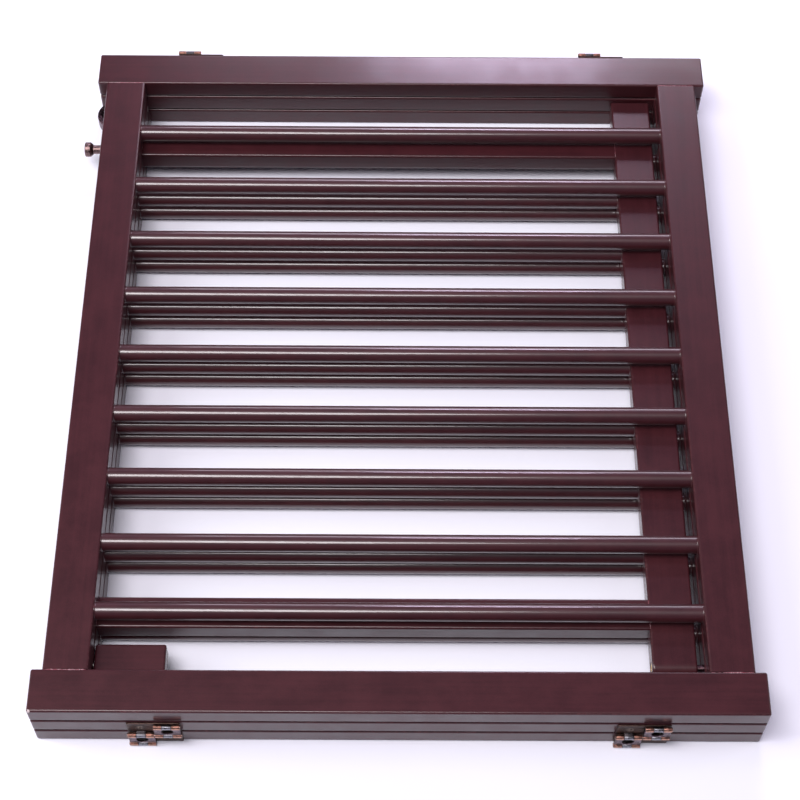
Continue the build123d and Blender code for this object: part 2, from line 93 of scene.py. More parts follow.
class Graph:
    """A node tree with short calls for the few kinds of node that the finishes use."""

    def __init__(self, tree: bpy.types.NodeTree) -> None:
        """Wrap a tree.

        Args:
            tree: the material's or group's node tree.
        """
        self.tree = tree

    def add(self, kind: str, **settings: object) -> bpy.types.Node:
        """Add a node.

        Args:
            kind: the node's type name.
            settings: properties to set on it.

        Returns:
            The new node.
        """
        node = self.tree.nodes.new(kind)
        for name, value in settings.items():
            setattr(node, name, value)
        return node

    def feed(self, target: bpy.types.NodeSocket, value: object) -> None:
        """Give an input socket a link, if value is a socket, or else a fixed value."""
        if isinstance(value, bpy.types.NodeSocket):
            self.tree.links.new(value, target)
        else:
            target.default_value = value

    def math(
        self, operation: str, first: object, second: object = 0.0, clamp: bool = False
    ) -> bpy.types.NodeSocket:
        """A Math node's result.

        Args:
            operation: the node's operation, such as MULTIPLY.
            first: a number or a socket.
            second: a number or a socket.
            clamp: whether the result stays between 0 and 1.

        Returns:
            The value socket.
        """
        node = self.add("ShaderNodeMath", operation=operation, use_clamp=clamp)
        self.feed(node.inputs[0], first)
        self.feed(node.inputs[1], second)
        return node.outputs[0]

    def multiply_add(self, value: object, factor: float, offset: object) -> bpy.types.NodeSocket:
        """A value times a factor, plus an offset."""
        node = self.add("ShaderNodeMath", operation="MULTIPLY_ADD")
        for socket, given in zip(node.inputs, (value, factor, offset)):
            self.feed(socket, given)
        return node.outputs[0]

    def vectors(self, operation: str, first: object, second: object) -> bpy.types.Node:
        """A Vector Math node on two vectors.

        Args:
            operation: the node's operation, such as SUBTRACT.
            first: a vector or a socket.
            second: a vector or a socket.

        Returns:
            The node, whose outputs are Vector and Value.
        """
        node = self.add("ShaderNodeVectorMath", operation=operation)
        self.feed(node.inputs[0], first)
        self.feed(node.inputs[1], second)
        return node

    def parts(self, vector: bpy.types.NodeSocket) -> Sequence[bpy.types.NodeSocket]:
        """The X, Y and Z of a vector."""
        node = self.add("ShaderNodeSeparateXYZ")
        self.feed(node.inputs[0], vector)
        return node.outputs

    def stretched(self, vector: bpy.types.NodeSocket, scale: Sequence[float]) -> bpy.types.NodeSocket:
        """A vector times a scale for each axis."""
        return self.vectors("MULTIPLY", vector, tuple(scale)).outputs["Vector"]

    def noise(
        self, vector: bpy.types.NodeSocket, scale: float, detail: float = 2.0, roughness: float = 0.5
    ) -> bpy.types.NodeSocket:
        """Noise between about 0.2 and 0.8.

        Args:
            vector: where the noise is read.
            scale: how many cells there are to a unit of the vector.
            detail: how many finer octaves are added.
            roughness: how strong the finer octaves are.

        Returns:
            The factor socket.
        """
        node = self.add("ShaderNodeTexNoise")
        self.feed(node.inputs["Vector"], vector)
        self.feed(node.inputs["Scale"], scale)
        self.feed(node.inputs["Detail"], detail)
        self.feed(node.inputs["Roughness"], roughness)
        return node.outputs["Fac"]

    def ramp(
        self, value: object, low: object, high: object, bottom: float = 0.0, top: float = 1.0
    ) -> bpy.types.NodeSocket:
        """A smooth step from bottom to top as value goes from low to high.

        Args:
            value: the value or socket to remap.
            low: where the step starts.
            high: where the step ends.
            bottom: the result before low.
            top: the result after high.

        Returns:
            The value socket.
        """
        node = self.add("ShaderNodeMapRange", interpolation_type="SMOOTHSTEP")
        for socket, given in zip(node.inputs, (value, low, high, bottom, top)):
            self.feed(socket, given)
        return node.outputs[0]

    def mix(self, share: object, first: object, second: object) -> bpy.types.NodeSocket:
        """A mix of two colours.

        Args:
            share: how much of the second colour, from 0 to 1.
            first: a colour or a socket.
            second: a colour or a socket.

        Returns:
            The colour socket.
        """
        node = self.add("ShaderNodeMix", data_type="RGBA")
        self.feed(node.inputs["Factor"], share)
        for socket, given in ((node.inputs[6], first), (node.inputs[7], second)):
            self.feed(socket, (*given, 1.0) if isinstance(given, tuple) else given)
        return node.outputs[2]

    def place(self, group: bpy.types.NodeTree, **inputs: object) -> bpy.types.Node:
        """Place a node group.

        Args:
            group: the group to place.
            inputs: a value or socket for each named input; underscores stand for spaces.

        Returns:
            The group node.
        """
        node = self.add("ShaderNodeGroup", node_tree=group)
        for name, value in inputs.items():
            self.feed(node.inputs[name.replace("_", " ")], value)
        return node


@dataclass
class Effects:
    """The node groups that several finishes share, each built once."""

    grain: bpy.types.NodeTree = field(init=False)
    film: bpy.types.NodeTree = field(init=False)
    edge_rub: bpy.types.NodeTree = field(init=False)
    corner_chip: bpy.types.NodeTree = field(init=False)
    patina: bpy.types.NodeTree = field(init=False)

    def __post_init__(self) -> None:
        """Build every group."""
        self.grain = self._group("timber_grain", ["Vector"], ["Streak", "Pore"], self._fill_grain)
        self.film = self._group("lacquer_film", ["Vector"], ["Ripple", "Mottle"], self._fill_film)
        self.edge_rub = self._group(
            "edge_rub", ["Vector", "Position", "Size", "Width"], ["Mask"], self._fill_edge_rub
        )
        self.corner_chip = self._group(
            "corner_chip", ["Vector", "Corner", "Reach"], ["Mask"], self._fill_corner_chip
        )
        self.patina = self._group("patina", ["Vector", "Scale"], ["Blotch", "Fleck"], self._fill_patina)

    @staticmethod
    def _group(
        name: str,
        inputs: Sequence[str],
        outputs: Sequence[str],
        fill: Callable[[Graph, Sockets, Sockets], None],
    ) -> bpy.types.NodeTree:
        """Make a node group.

        Args:
            name: the group's name.
            inputs: its input names; Vector, Position, Size and Corner are vectors, and the rest are values.
            outputs: its output names, all values.
            fill: adds the nodes, given the graph and the sockets by name.

        Returns:
            The group's tree.
        """
        tree = bpy.data.node_groups.new(name, "ShaderNodeTree")
        for socket in inputs:
            vector = socket in ("Vector", "Position", "Size", "Corner")
            kind = "NodeSocketVector" if vector else "NodeSocketFloat"
            tree.interface.new_socket(socket, in_out="INPUT", socket_type=kind)
        for socket in outputs:
            tree.interface.new_socket(socket, in_out="OUTPUT", socket_type="NodeSocketFloat")
        graph = Graph(tree)
        entry, leave = graph.add("NodeGroupInput"), graph.add("NodeGroupOutput")
        fill(graph, {s.name: s for s in entry.outputs}, {s.name: s for s in leave.inputs})
        return tree

    @staticmethod
    def _fill_grain(graph: Graph, given: Sockets, results: Sockets) -> None:
        """Long streaks and fine pores, with the grain along X."""
        streak = graph.noise(graph.stretched(given["Vector"], (7.0, 210.0, 210.0)), 1.0, 5.0, 0.6)
        pore = graph.noise(graph.stretched(given["Vector"], (60.0, 1700.0, 1700.0)), 1.0, 2.0, 0.5)
        graph.feed(results["Streak"], graph.ramp(streak, 0.32, 0.68))
        graph.feed(results["Pore"], graph.ramp(pore, 0.56, 0.7))

    @staticmethod
    def _fill_film(graph: Graph, given: Sockets, results: Sockets) -> None:
        """The fine ripple of sprayed lacquer, and the blotches where it lies thicker."""
        ripple = graph.noise(given["Vector"], 520.0, 2.0, 0.5)
        brushed = graph.noise(graph.stretched(given["Vector"], (30.0, 420.0, 420.0)), 1.0, 3.0, 0.6)
        broad = graph.noise(given["Vector"], 38.0, 5.0, 0.68)
        fine = graph.noise(given["Vector"], 900.0, 2.0, 0.7)
        graph.feed(results["Ripple"], graph.multiply_add(brushed, 0.45, graph.math("MULTIPLY", ripple, 0.55)))
        speckle = graph.multiply_add(fine, 0.35, graph.math("MULTIPLY", broad, 0.65))
        graph.feed(results["Mottle"], graph.ramp(speckle, 0.36, 0.64))

    @staticmethod
    def _fill_edge_rub(graph: Graph, given: Sockets, results: Sockets) -> None:
        """A mask along the edges of a box, ragged by noise."""
        half = graph.vectors("MULTIPLY", given["Size"], (0.5, 0.5, 0.5)).outputs["Vector"]
        centred = graph.vectors("SUBTRACT", given["Position"], half).outputs["Vector"]
        folded = graph.vectors("ABSOLUTE", centred, (0.0, 0.0, 0.0)).outputs["Vector"]
        depth = graph.parts(graph.vectors("SUBTRACT", half, folded).outputs["Vector"])
        pairs = [graph.math("MAXIMUM", depth[a], depth[b]) for a, b in ((0, 1), (1, 2), (0, 2))]
        nearest = graph.math("MINIMUM", graph.math("MINIMUM", pairs[0], pairs[1]), pairs[2])
        ragged = graph.noise(given["Vector"], 260.0, 4.0, 0.7)
        reach = graph.math("MULTIPLY", given["Width"], graph.ramp(ragged, 0.35, 0.7, 0.25, 1.35))
        inside = graph.math("SUBTRACT", 1.0, graph.math("DIVIDE", nearest, reach), True)
        patches = graph.ramp(graph.noise(given["Vector"], 22.0, 3.0, 0.6), 0.4, 0.66, 0.25, 1.0)
        graph.feed(results["Mask"], graph.math("MULTIPLY", graph.ramp(inside, 0.0, 0.55), patches))

    @staticmethod
    def _fill_corner_chip(graph: Graph, given: Sockets, results: Sockets) -> None:
        """A ragged chip round one corner."""
        distance = graph.vectors("DISTANCE", given["Vector"], given["Corner"]).outputs["Value"]
        ragged = graph.noise(given["Vector"], 650.0, 3.0, 0.65)
        reach = graph.math("MULTIPLY", given["Reach"], graph.ramp(ragged, 0.3, 0.7, 0.45, 1.25))
        graph.feed(results["Mask"], graph.math("LESS_THAN", distance, reach))

    @staticmethod
    def _fill_patina(graph: Graph, given: Sockets, results: Sockets) -> None:
        """Cloudy blotches and fine flecks in an aged metal finish."""
        blotch = graph.noise(given["Vector"], 1.0, 4.0, 0.62)
        graph.feed(blotch.node.inputs["Scale"], given["Scale"])
        fleck = graph.noise(given["Vector"], 1.0, 2.0, 0.5)
        graph.feed(fleck.node.inputs["Scale"], graph.math("MULTIPLY", given["Scale"], 7.0))
        graph.feed(results["Blotch"], graph.ramp(blotch, 0.36, 0.64))
        graph.feed(results["Fleck"], graph.ramp(fleck, 0.42, 0.62))


# Finishes


def new_material(name: str) -> tuple[bpy.types.Material, Graph, bpy.types.Node]:
    """Make a material with a Principled shader.

    Args:
        name: the material's name.

    Returns:
        The material, its graph and its Principled node.
    """
    material = bpy.data.materials.new(name)
    material.use_nodes = True
    return material, Graph(material.node_tree), material.node_tree.nodes["Principled BSDF"]


def add_bump(graph: Graph, shader: bpy.types.Node, height: bpy.types.NodeSocket, depth: float) -> None:
    """Feed a shader's normal from a height.

    Args:
        graph: the material's graph.
        shader: the Principled node.
        height: the height, from 0 to 1.
        depth: what a height of 1 stands for, in metres.
    """
    bump = graph.add("ShaderNodeBump")
    bump.inputs["Distance"].default_value = depth
    bump.inputs["Strength"].default_value = 1.0
    graph.feed(bump.inputs["Height"], height)
    graph.feed(shader.inputs["Normal"], bump.outputs["Normal"])


@dataclass(frozen=True)
class Lacquer:
    """Dark mahogany lacquer over straight-grained timber."""

    deep: Colour = (0.034, 0.0072, 0.0100)
    warm: Colour = (0.044, 0.0096, 0.0130)
    thin: Colour = (0.070, 0.0125, 0.0175)
    rubbed: Colour = (0.17, 0.052, 0.058)
    bare: Colour = (0.62, 0.52, 0.52)
    thin_share: float = 0.4
    pore_share: float = 0.3
    rub_share: float = 0.4
    roughness: float = 0.385
    rough_spread: float = 0.07
    bare_roughness: float = 0.8
    specular: float = 0.22
    coat_most: float = 0.65
    coat_least: float = 0.51
    coat_roughness: float = 0.16
    edge_width: float = 1.2 * MM
    chip_reach: float = 1.7 * MM
    film_depth: float = 0.022 * MM

    def build(
        self, name: str, effects: Effects, grain: Grain, size: Vector, chip: Optional[Vector] = None
    ) -> bpy.types.Material:
        """Make the lacquer for members of one size.

        Args:
            name: the material's name.
            effects: the shared node groups.
            grain: the direction of the grain.
            size: the member's size along X, Y and Z, whose edges are rubbed.
            chip: a corner with a chip out of the lacquer.

        Returns:
            The material.
        """
        material, graph, shader = new_material(name)
        places = graph.add("ShaderNodeTexCoord")
        here = places.outputs["Object"]
        along = here
        if grain is Grain.ALONG_Y:
            turn = graph.add("ShaderNodeMapping")
            turn.inputs["Rotation"].default_value = (0.0, 0.0, math.pi / 2)
            graph.feed(turn.inputs["Vector"], here)
            along = turn.outputs["Vector"]
        streak, pore = graph.place(effects.grain, Vector=along).outputs
        ripple, mottle = graph.place(effects.film, Vector=along).outputs
        position = graph.stretched(places.outputs["Generated"], size)
        rub = graph.place(
            effects.edge_rub, Vector=here, Position=position, Size=tuple(size), Width=self.edge_width
        ).outputs["Mask"]
        colour = graph.mix(streak, self.deep, self.warm)
        for mask, share, tint in (
            (mottle, self.thin_share, self.thin),
            (pore, self.pore_share, self.deep),
            (rub, self.rub_share, self.rubbed),
        ):
            colour = graph.mix(graph.math("MULTIPLY", mask, share), colour, tint)
        roughness = graph.multiply_add(mottle, self.rough_spread, self.roughness)
        coat = graph.ramp(mottle, 0.0, 1.0, self.coat_most, self.coat_least)
        if chip is not None:
            spot = graph.place(effects.corner_chip, Vector=here, Corner=tuple(chip), Reach=self.chip_reach)
            bare = spot.outputs["Mask"]
            colour = graph.mix(bare, colour, self.bare)
            coat = graph.math("SUBTRACT", coat, bare, True)
            roughness = graph.math("MAXIMUM", roughness, graph.math("MULTIPLY", bare, self.bare_roughness))
        graph.feed(shader.inputs["Base Color"], colour)
        graph.feed(shader.inputs["Roughness"], roughness)
        graph.feed(shader.inputs["Coat Weight"], coat)
        shader.inputs["Coat Roughness"].default_value = self.coat_roughness
        shader.inputs["Specular IOR Level"].default_value = self.specular
        height = graph.math("SUBTRACT", ripple, graph.math("MULTIPLY", pore, 0.5))
        add_bump(graph, shader, height, self.film_depth)
        return material


@dataclass(frozen=True)
class Filler:
    """Rough filler and primer that shows at the glued joints."""

    tinted: Colour = (0.17, 0.028, 0.045)
    pale: Colour = (0.62, 0.42, 0.45)
    roughness: float = 0.62
    cloud_scale: float = 240.0
    grit_depth: float = 0.15 * MM

    def build(self, name: str, effects: Effects) -> bpy.types.Material:
        """Make the filler.

        Args:
            name: the material's name.
            effects: the shared node groups.

        Returns:
            The material.
        """
        material, graph, shader = new_material(name)
        here = graph.add("ShaderNodeTexCoord").outputs["Object"]
        blotch, fleck = graph.place(effects.patina, Vector=here, Scale=self.cloud_scale).outputs
        pale_share = graph.math("MULTIPLY", blotch, fleck)
        graph.feed(shader.inputs["Base Color"], graph.mix(pale_share, self.tinted, self.pale))
        roughness = graph.ramp(fleck, 0.0, 1.0, self.roughness, self.roughness + 0.2)
        graph.feed(shader.inputs["Roughness"], roughness)
        add_bump(graph, shader, fleck, self.grit_depth)
        return material


@dataclass(frozen=True)
class AgedMetal:
    """A plated finish with a dark patina, rubbed bright where it stands out furthest; on the hinge barrels
    and knuckles that bright band is partly wear and partly a painted highlight.
    """

    name: str
    dark: Colour
    mid: Colour
    bright: Colour
    roughness: float = 0.34
    bright_roughness: float = 0.24
    cloud_scale: float = 420.0
    fleck_share: float = 0.22
    rub_share: float = 0.0
    rub_from: float = 0.0
    rub_to: float = 1.0
    grit_depth: float = 0.03 * MM

    def build(self, effects: Effects) -> bpy.types.Material:
        """Make the metal. It is rubbed bright where the distance from the XZ plane goes from rub_from to
        rub_to: partly worn plating on the proud crown, partly a painted highlight band.

        Args:
            effects: the shared node groups.

        Returns:
            The material.
        """
        material, graph, shader = new_material(self.name)
        here = graph.add("ShaderNodeTexCoord").outputs["Object"]
        blotch, fleck = graph.place(effects.patina, Vector=here, Scale=self.cloud_scale).outputs
        colour = graph.mix(blotch, self.dark, self.mid)
        bright_share = graph.math("MULTIPLY", fleck, self.fleck_share)
        if self.rub_share > 0.0:
            # bright crown band: partly worn plating, partly a painted highlight where a lamp would catch the
            # rounded crown
            proud = graph.math("ABSOLUTE", graph.parts(here)[1])
            spot = graph.ramp(proud, self.rub_from, self.rub_to, 0.0, self.rub_share)
            rub_and_painted_highlight = graph.math("MULTIPLY", spot, graph.ramp(blotch, 0.0, 0.6, 0.72, 1.0))
            bright_share = graph.math("MAXIMUM", bright_share, rub_and_painted_highlight)
        graph.feed(shader.inputs["Base Color"], graph.mix(bright_share, colour, self.bright))
        rough = graph.ramp(bright_share, 0.0, 1.0, self.roughness, self.bright_roughness)
        graph.feed(shader.inputs["Roughness"], graph.multiply_add(blotch, 0.1, rough))
        shader.inputs["Metallic"].default_value = 1.0
        add_bump(graph, shader, fleck, self.grit_depth)
        return material


def dress(piece: bpy.types.Object, *materials: bpy.types.Material) -> None:
    """Give a piece its materials: one for every slot of it, or one for each slot in turn."""
    while len(piece.material_slots) < len(materials):
        piece.data.materials.append(None)
    for index, slot in enumerate(piece.material_slots):
        slot.material = materials[min(index, len(materials) - 1)]
    log.info("%s: %s", piece.name, ", ".join(material.name for material in materials))


# Mesh making


class MeshMaker:
    """Collects shells into one mesh, in a local frame that place() maps to the row frame."""

    def __init__(self, place: Placing = lambda x, y, z: Vector((x, y, z))) -> None:
        """Start an empty mesh.

        Args:
            place: maps a local point to the row frame; without it, the two are the same.
        """
        self.place = place
        self.bm = bmesh.new()
        self.shade = 0

    def grid(self, rings: Sequence[Sequence[Point3]], capped: bool = True) -> None:
        """Skin a row of closed rings of equal length.

        Args:
            rings: the rings of local points.
            capped: whether the first and last rings get a face.
        """
        made = [[self.bm.verts.new(self.place(*point)) for point in ring] for ring in rings]
        count = len(made[0])
        for first, second in zip(made, made[1:]):
            for index in range(count):
                after = (index + 1) % count
                self.face((first[index], first[after], second[after], second[index]))
        if capped:
            self.face(list(reversed(made[0])))
            self.face(made[-1])

    def face(self, corners: Sequence[bmesh.types.BMVert]) -> None:
        """Add a face in the current shade."""
        self.bm.faces.new(corners).material_index = self.shade

    def lathe(
        self, profile: Sequence[Point2], centre: Point2, segments: int = 40, loop: bool = False
    ) -> None:
        """Turn a profile of (distance along X, radius) about a line along X.

        Args:
            profile: the profile's points.
            centre: the line's place on the other two local axes.
            segments: how many steps there are in the turn.
            loop: whether the profile closes on itself, as for a ring.
        """
        angles = [2 * math.pi * step / segments for step in range(segments)]
        rings = [
            [(x, centre[0] + radius * math.cos(a), centre[1] + radius * math.sin(a)) for a in angles]
            for x, radius in profile
        ]
        self.grid(rings + rings[:1] if loop else rings, capped=not loop)

    def prism(self, outline: Sequence[Point2], start: float, end: float, soften: float) -> None:
        """Extrude an outline along X and round its sharp edges.

        Args:
            outline: the points on the other two local axes.
            start: where it starts along X.
            end: where it ends along X.
            soften: the radius of its rounded edges.
        """
        before = set(self.bm.edges)
        self.grid([[(x, u, v) for u, v in outline] for x in (start, end)])
        edges = [edge for edge in self.bm.edges if edge not in before]
        bmesh.ops.recalc_face_normals(self.bm, faces=list({f for e in edges for f in e.link_faces}))
        sharp = [edge for edge in edges if edge.calc_face_angle(0.0) > math.radians(50)]
        bmesh.ops.bevel(
            self.bm, geom=sharp, offset=soften, segments=2, profile=0.5, affect="EDGES", clamp_overlap=True
        )

    def plate(self, outlines: Sequence[Sequence[Point2]], low: float, high: float, soften: float) -> None:
        """A flat plate with holes, its outlines on local X and V and its thickness along U.

        Args:
            outlines: the outer outline, then one for each hole.
            low: its inner face along U.
            high: its outer face along U.
            soften: the radius of its rounded edges.
        """
        curve = bpy.data.curves.new("plate", "CURVE")
        curve.dimensions = "2D"
        curve.fill_mode = "BOTH"
        curve.extrude = (high - low) / 2 - soften
        curve.bevel_depth = soften
        curve.bevel_resolution = 1
        curve.offset = -soften
        for outline in outlines:
            spline = curve.splines.new("POLY")
            spline.points.add(len(outline) - 1)
            for point, (x, v) in zip(spline.points, outline):
                point.co = (x, v, 0.0, 1.0)
            spline.use_cyclic_u = True
        carrier = bpy.data.objects.new("plate", curve)
        mesh = bpy.data.meshes.new_from_object(carrier)
        middle = (low + high) / 2
        for vertex in mesh.vertices:
            vertex.co = self.place(vertex.co.x, middle + vertex.co.z, vertex.co.y)
        self.bm.from_mesh(mesh)
        bpy.data.objects.remove(carrier)
        bpy.data.curves.remove(curve)
        bpy.data.meshes.remove(mesh)

    def take(self, other: "MeshMaker") -> None:
        """Move another maker's shells into this one."""
        mesh = bpy.data.meshes.new("part")
        other.bm.to_mesh(mesh)
        self.bm.from_mesh(mesh)
        other.bm.free()
        bpy.data.meshes.remove(mesh)

    def finish(self, name: str, sharp_degrees: float = 38.0) -> bpy.types.Object:
        """Turn the shells into an object.

        Args:
            name: the object's name.
            sharp_degrees: edges sharper than this stay crisp.

        Returns:
            The linked object.
        """
        bmesh.ops.remove_doubles(self.bm, verts=self.bm.verts, dist=0.002 * MM)
        bmesh.ops.recalc_face_normals(self.bm, faces=self.bm.faces)
        mesh = bpy.data.meshes.new(name)
        self.bm.to_mesh(mesh)
        self.bm.free()
        mesh.polygons.foreach_set("use_smooth", [True] * len(mesh.polygons))
        mesh.set_sharp_from_angle(angle=math.radians(sharp_degrees))
        piece = bpy.data.objects.new(name, mesh)
        bpy.context.scene.collection.objects.link(piece)
        return piece


def arc(centre: Point2, radius: float, start: float, sweep: float, steps: int) -> list[Point2]:
    """Points along an arc.

    Args:
        centre: the arc's centre.
        radius: its radius.
        start: its first angle, in degrees.
        sweep: the angle it turns through, in degrees.
        steps: how many steps it takes.

    Returns:
        The points, both ends among them.
    """
    angles = [math.radians(start + sweep * step / steps) for step in range(steps + 1)]
    return [(centre[0] + radius * math.cos(a), centre[1] + radius * math.sin(a)) for a in angles]


def circle(centre: Point2, radius: float, points: int = 48) -> list[Point2]:
    """The outline of a circle."""
    step = 360.0 / points
    return arc(centre, radius, 0.0, 360.0 - step, points - 1)


def rounded_rectangle(low: Point2, high: Point2, radius: float, steps: int = 4) -> list[Point2]:
    """The outline of a rectangle with round corners.

    Args:
        low: its lowest corner.
        high: its highest corner.
        radius: the radius of its corners.
        steps: how many steps each corner takes.

    Returns:
        The outline's points.
    """
    corners = (
        ((high[0] - radius, high[1] - radius), 0.0),
        ((low[0] + radius, high[1] - radius), 90.0),
        ((low[0] + radius, low[1] + radius), 180.0),
        ((high[0] - radius, low[1] + radius), 270.0),
    )
    return [point for centre, start in corners for point in arc(centre, radius, start, 90.0, steps)]


def strip(centreline: Sequence[Point2], thickness: float) -> list[Point2]:
    """The outline of a bent strip of sheet metal.

    Args:
        centreline: the middle of the strip, from end to end.
        thickness: the sheet's thickness.

    Returns:
        The outline's points.
    """
    sides: tuple[list[Point2], list[Point2]] = ([], [])
    for index, point in enumerate(centreline):
        before = Vector(centreline[max(index - 1, 0)])
        after = Vector(centreline[min(index + 1, len(centreline) - 1)])
        along = (after - before).normalized()
        across = Vector((-along.y, along.x)) * thickness / 2
        sides[0].append((point[0] + across.x, point[1] + across.y))
        sides[1].append((point[0] - across.x, point[1] - across.y))
    return sides[0] + sides[1][::-1]


@dataclass(frozen=True)
class CrossHead:
    """The head of a cross-head screw, facing outwards along U."""

    radius: float
    height: float
    dome: float
    slot_reach: float
    slot_half: float
    recess: float

    def add_to(self, maker: MeshMaker, x: float, v: float, face_u: float) -> None:
        """Add the head and its recess.

        Args:
            maker: the mesh to add to.
            x: the screw's place along X.
            v: the screw's place along V.
            face_u: the height of the head's face along U.
        """
        arm, half = self.slot_reach, self.slot_half
        cross = [
            (arm, -half), (arm, half), (half, half), (half, arm), (-half, arm), (-half, half),
            (-arm, half), (-arm, -half), (-half, -half), (-half, -arm), (half, -arm), (half, -half),
        ]
        slot = [(x + px, v + pv) for px, pv in cross]
        floor_u = face_u - self.recess
        maker.plate([circle((x, v), self.radius), slot], floor_u, face_u, self.dome)
        cone = ((face_u - self.height, self.radius * 0.62), (floor_u, self.radius * 0.97))
        maker.grid([[(px, u, pv) for px, pv in circle((x, v), radius)] for u, radius in cone])


# Timber


@dataclass
class Timber:
    """Every wooden member: which way its grain runs and which lacquer it gets."""

    effects: Effects
    finish: Lacquer = Lacquer()
    bar_finish: Lacquer = Lacquer(specular=0.4, coat_most=1.0, coat_least=0.85, coat_roughness=0.1)
    chipped: str = "left_free_stile"
    chip_from_corner: Point2 = (2.2 * MM, 0.5 * MM)
    made: dict[tuple, bpy.types.Material] = field(default_factory=dict)

    @staticmethod
    def is_timber(name: str) -> bool:
        """Whether a node is a wooden member."""
        return name.endswith(("_stile", "_rail", "_post", "_block")) or "_bar_" in name

    @staticmethod
    def grain_of(name: str) -> Grain:
        """The direction of a member's grain."""
        return Grain.ALONG_Y if name.endswith("_rail") else Grain.ALONG_X

    def material_for(self, name: str) -> bpy.types.Material:
        """The lacquer for a member, shared by members of its size and grain.

        Args:
            name: the member's node.

        Returns:
            The material.
        """
        low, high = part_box(name)
        size = high - low
        grain = self.grain_of(name)
        chip = None
        if name == self.chipped:
            along, inward = self.chip_from_corner
            chip = low + Vector((along, inward, size.z - inward))
        key = (grain, tuple(round(side / MM, 1) for side in size), chip is not None)
        if key not in self.made:
            finish = self.bar_finish if "_bar_" in name else self.finish
            self.made[key] = finish.build(f"lacquer_{len(self.made) + 1}", self.effects, grain, size, chip)
        return self.made[key]

    def dress(self) -> None:
        """Lacquer every wooden member."""
        members = sorted(name for name in frame["nodes"] if self.is_timber(name))
        for name in members:
            dress(frame["nodes"][name], self.material_for(name))
        log.info("lacquered %d members in %d finishes", len(members), len(self.made))


@dataclass
class JointSeams:
    """The filler that shows where one member butts against another."""

    effects: Effects
    eased: float = 2.0 * MM
    thickest: float = 0.85 * MM
    sunk_share: float = 0.75
    short_share: float = 0.4
    step: float = 0.9 * MM
    sides: int = 8
    first_size: float = 0.6
    least_size: float = 0.35
    end_size: float = 0.25
    swell: float = 0.22
    wander_mm: float = 0.12

    def bead(self, maker: MeshMaker, start: Vector, end: Vector, random_source: random.Random) -> None:
        """An uneven bead of filler between two points.

        Args:
            maker: the mesh to add to.
            start: one end of the bead.
            end: the other end.
            random_source: where its unevenness comes from.
        """
        up = Vector((0.0, 0.0, 1.0))
        across = (end - start).normalized().cross(up)
        count = max(4, round((end - start).length / self.step))
        angles = [2 * math.pi * side / self.sides for side in range(self.sides)]
        rings, size = [], self.first_size
        for index in range(count + 1):
            size = min(1.0, max(self.least_size, size + random_source.uniform(-self.swell, self.swell)))
            aside = random_source.uniform(-self.wander_mm, self.wander_mm)
            centre = start.lerp(end, index / count) + across * aside * MM
            taper = self.end_size if index in (0, count) else 1.0
            radius = self.thickest * size * taper
            rings.append(
                [tuple(centre + across * radius * math.cos(a) + up * radius * math.sin(a)) for a in angles]
            )
        maker.grid(rings)

    def joint(self, maker: MeshMaker, low: Vector, high: Vector, random_source: random.Random) -> None:
        """The beads on both faces of one joint.

        Args:
            maker: the mesh to add to.
            low: one end of the joint's line, on the underside.
            high: the other end of the joint's line, on the upper face.
            random_source: where their unevenness comes from.
        """
        for z in (low.z + self.thickest, high.z - self.thickest):
            self.bead(maker, Vector((low.x, low.y, z)), Vector((high.x, high.y, z)), random_source)

    def between(self, body: str, members: Sequence[str], ends: Sequence[str], axis: int) -> None:
        """Every seam of a body's members, which run between two others.

        Args:
            body: the body that the seams ride on.
            members: the nodes that run between the ends.
            ends: the two nodes that they run between, lowest first.
            axis: the axis that the members run along: 0 for X or 1 for Y.
        """
        source = random.Random(body)
        maker = MeshMaker()
        inset = self.thickest * self.sunk_share
        across = 1 - axis
        faces = (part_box(ends[0])[1][axis] - inset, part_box(ends[1])[0][axis] + inset)
        for member in members:
            low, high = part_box(member)
            for face in faces:
                start, end = Vector(low), Vector(high)
                start[axis] = end[axis] = face
                start[across] += self.eased * self.short_share
                end[across] -= self.eased * self.short_share
                self.joint(maker, start, end, source)
        piece = maker.finish(f"{body}_joint_seams", sharp_degrees=80.0)
        dress(piece, Filler().build(f"filler_{body}", self.effects))
        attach(piece, body)


@dataclass
class BarCollars:
    """The small fillets of lacquer that gather round each bar where it enters a rail."""

    spread: float = 0.75 * MM
    rise: float = 0.9 * MM
    sunk: float = 0.4 * MM

    def collar(self, maker: MeshMaker, face_x: float, outward: int, bar: tuple[Vector, Vector]) -> None:
        """One collar.

        Args:
            maker: the mesh to add to.
            face_x: the rail's face.
            outward: the sign of X that leads away from the rail.
            bar: the bar's box.
        """
        low, high = bar
        radius = (high.y - low.y) / 2
        centre = ((low.y + high.y) / 2, (low.z + high.z) / 2)
        inner = radius - 0.15 * MM
        section = [(-self.sunk, inner), (-self.sunk, radius + self.spread), (0.06 * MM, radius + self.spread)]
        section += [
            (self.rise * up, radius + self.spread * out) for up, out in ((0.22, 0.42), (0.55, 0.14))
        ]
        section += [(self.rise, radius + 0.02 * MM), (self.rise, inner)]
        profile = [(face_x + outward * depth, reach) for depth, reach in section]
        maker.lathe(profile, centre, segments=28, loop=True)

    def for_body(self, body: str, rails: Sequence[str], bars: Sequence[str], lacquer: Timber) -> None:
        """Every collar on one body.

        Args:
            body: the body that they ride on.
            rails: the top and bottom rails' nodes.
            bars: the bars' nodes.
            lacquer: where the finish comes from.
        """
        maker = MeshMaker()
        faces = ((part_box(rails[0])[1].x, 1), (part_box(rails[1])[0].x, -1))
        for bar in bars:
            for face_x, outward in faces:
                self.collar(maker, face_x, outward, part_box(bar))
        piece = maker.finish(f"{body}_bar_collars", sharp_degrees=60.0)
        dress(piece, lacquer.material_for(bars[0]))
        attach(piece, body)


# Hinges


